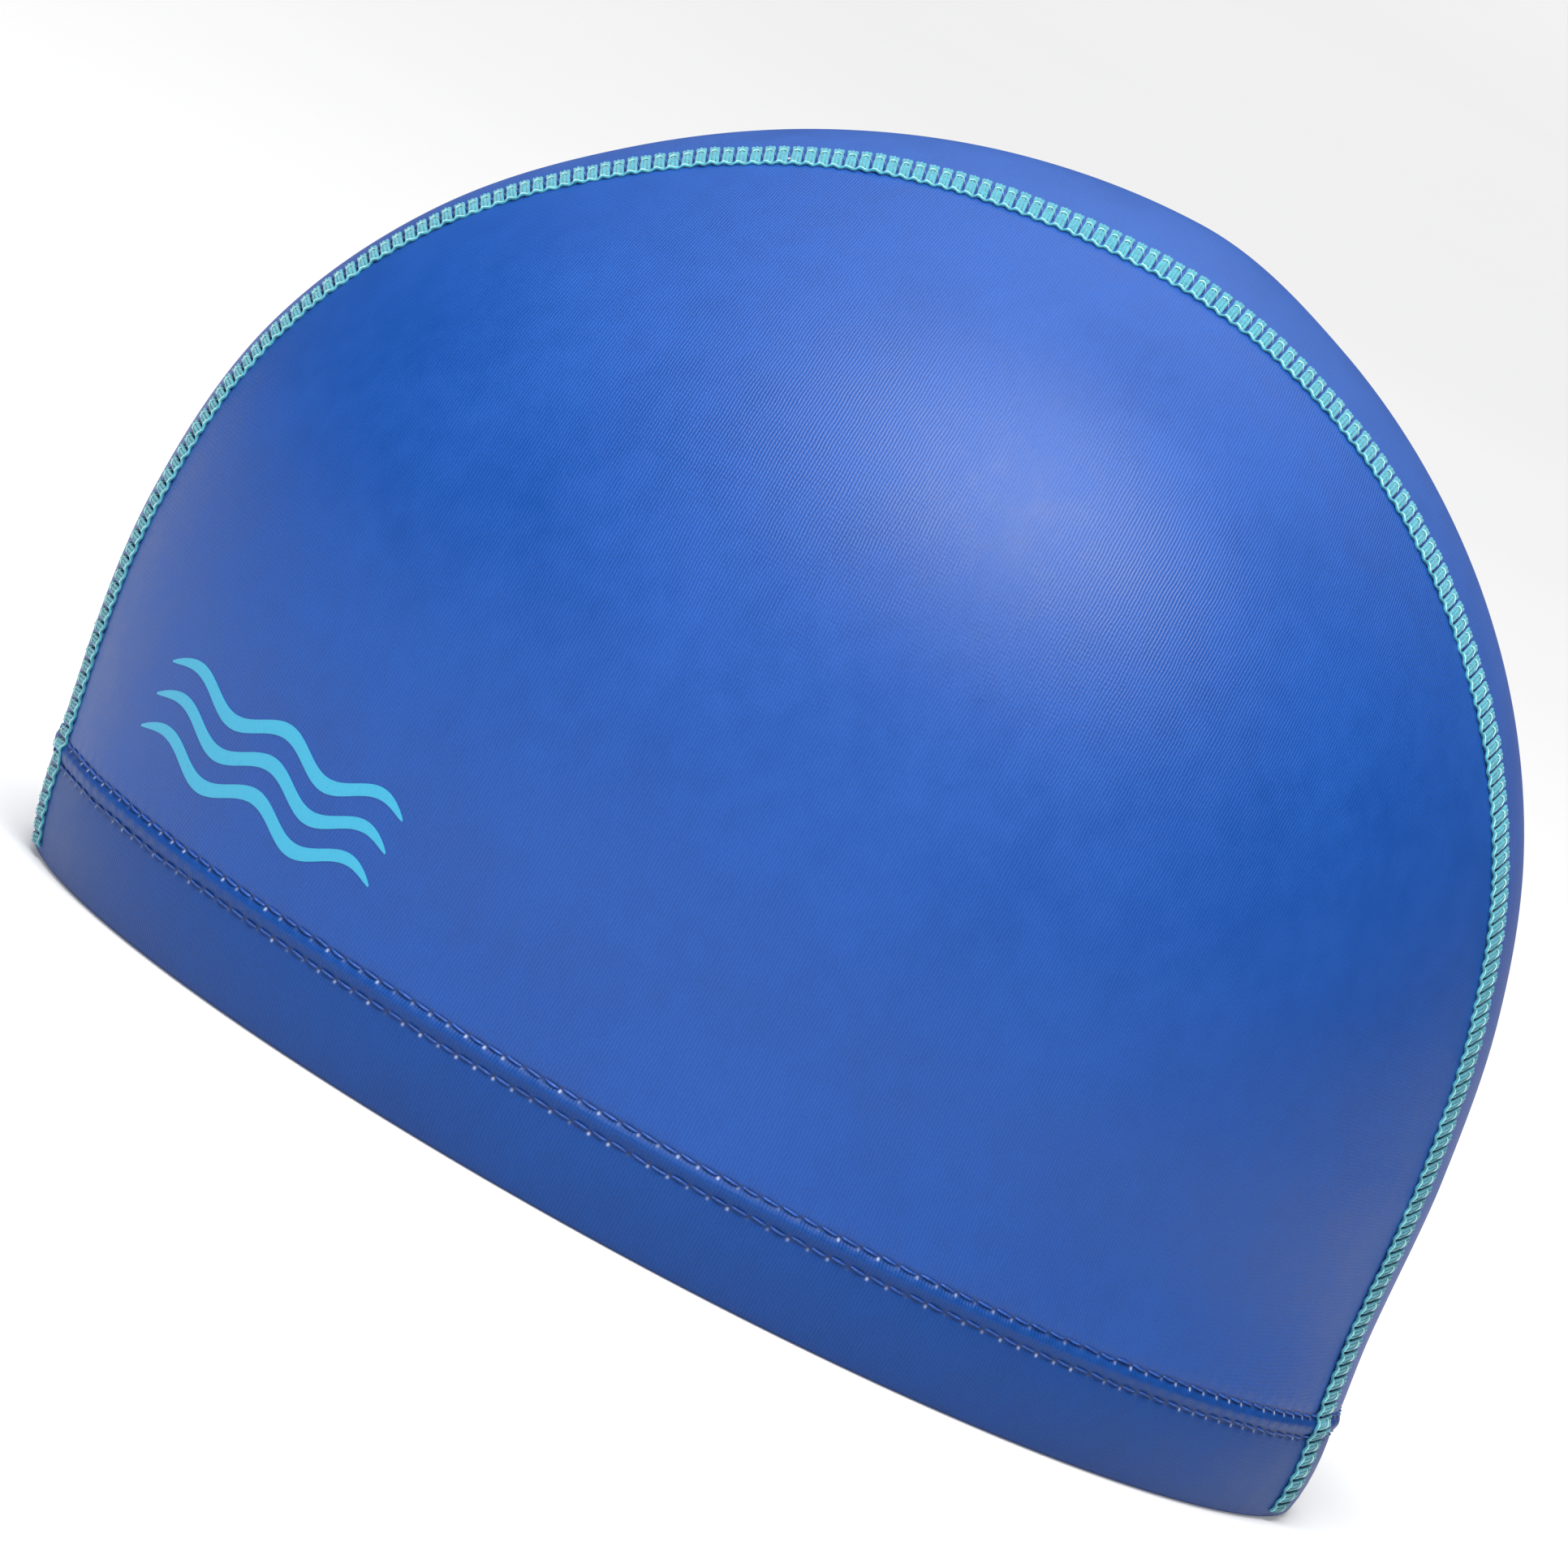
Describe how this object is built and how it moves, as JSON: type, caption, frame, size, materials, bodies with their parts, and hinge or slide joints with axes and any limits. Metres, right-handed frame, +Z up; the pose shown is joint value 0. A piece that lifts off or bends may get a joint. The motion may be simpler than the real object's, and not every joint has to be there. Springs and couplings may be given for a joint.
{
  "type": "swim cap",
  "caption": "Three-panel coated-cloth swim cap: two side panels and a centre strip joined by raised flat seams, with a turned-up stitched hem round an open head hollow.",
  "frame": {"origin": "on the surface that the cap rests on, under the middle of its length and width", "axes": "+Z up with the rim flat on Z = 0, the wearer faces -Y, the wearer's left is +X"},
  "size_m": [0.1602, 0.204, 0.1504],
  "materials": {
    "side_cloth": "royal blue coated knit, satin sheen",
    "centre_cloth": "royal blue coated knit, satin sheen, slightly duller",
    "hem_cloth": "royal blue coated knit, turned up and stitched",
    "seam_thread": "turquoise textured sewing thread in a flat seam",
    "hem_thread": "blue sewing thread, two stitch rows",
    "print_ink": null
  },
  "bodies": {
    "root": {"left_panel": "side_cloth", "right_panel": "side_cloth", "centre_panel": "centre_cloth", "hem_band": "hem_cloth", "left_seam": "seam_thread", "right_seam": "seam_thread"}
  },
  "joints": []
}
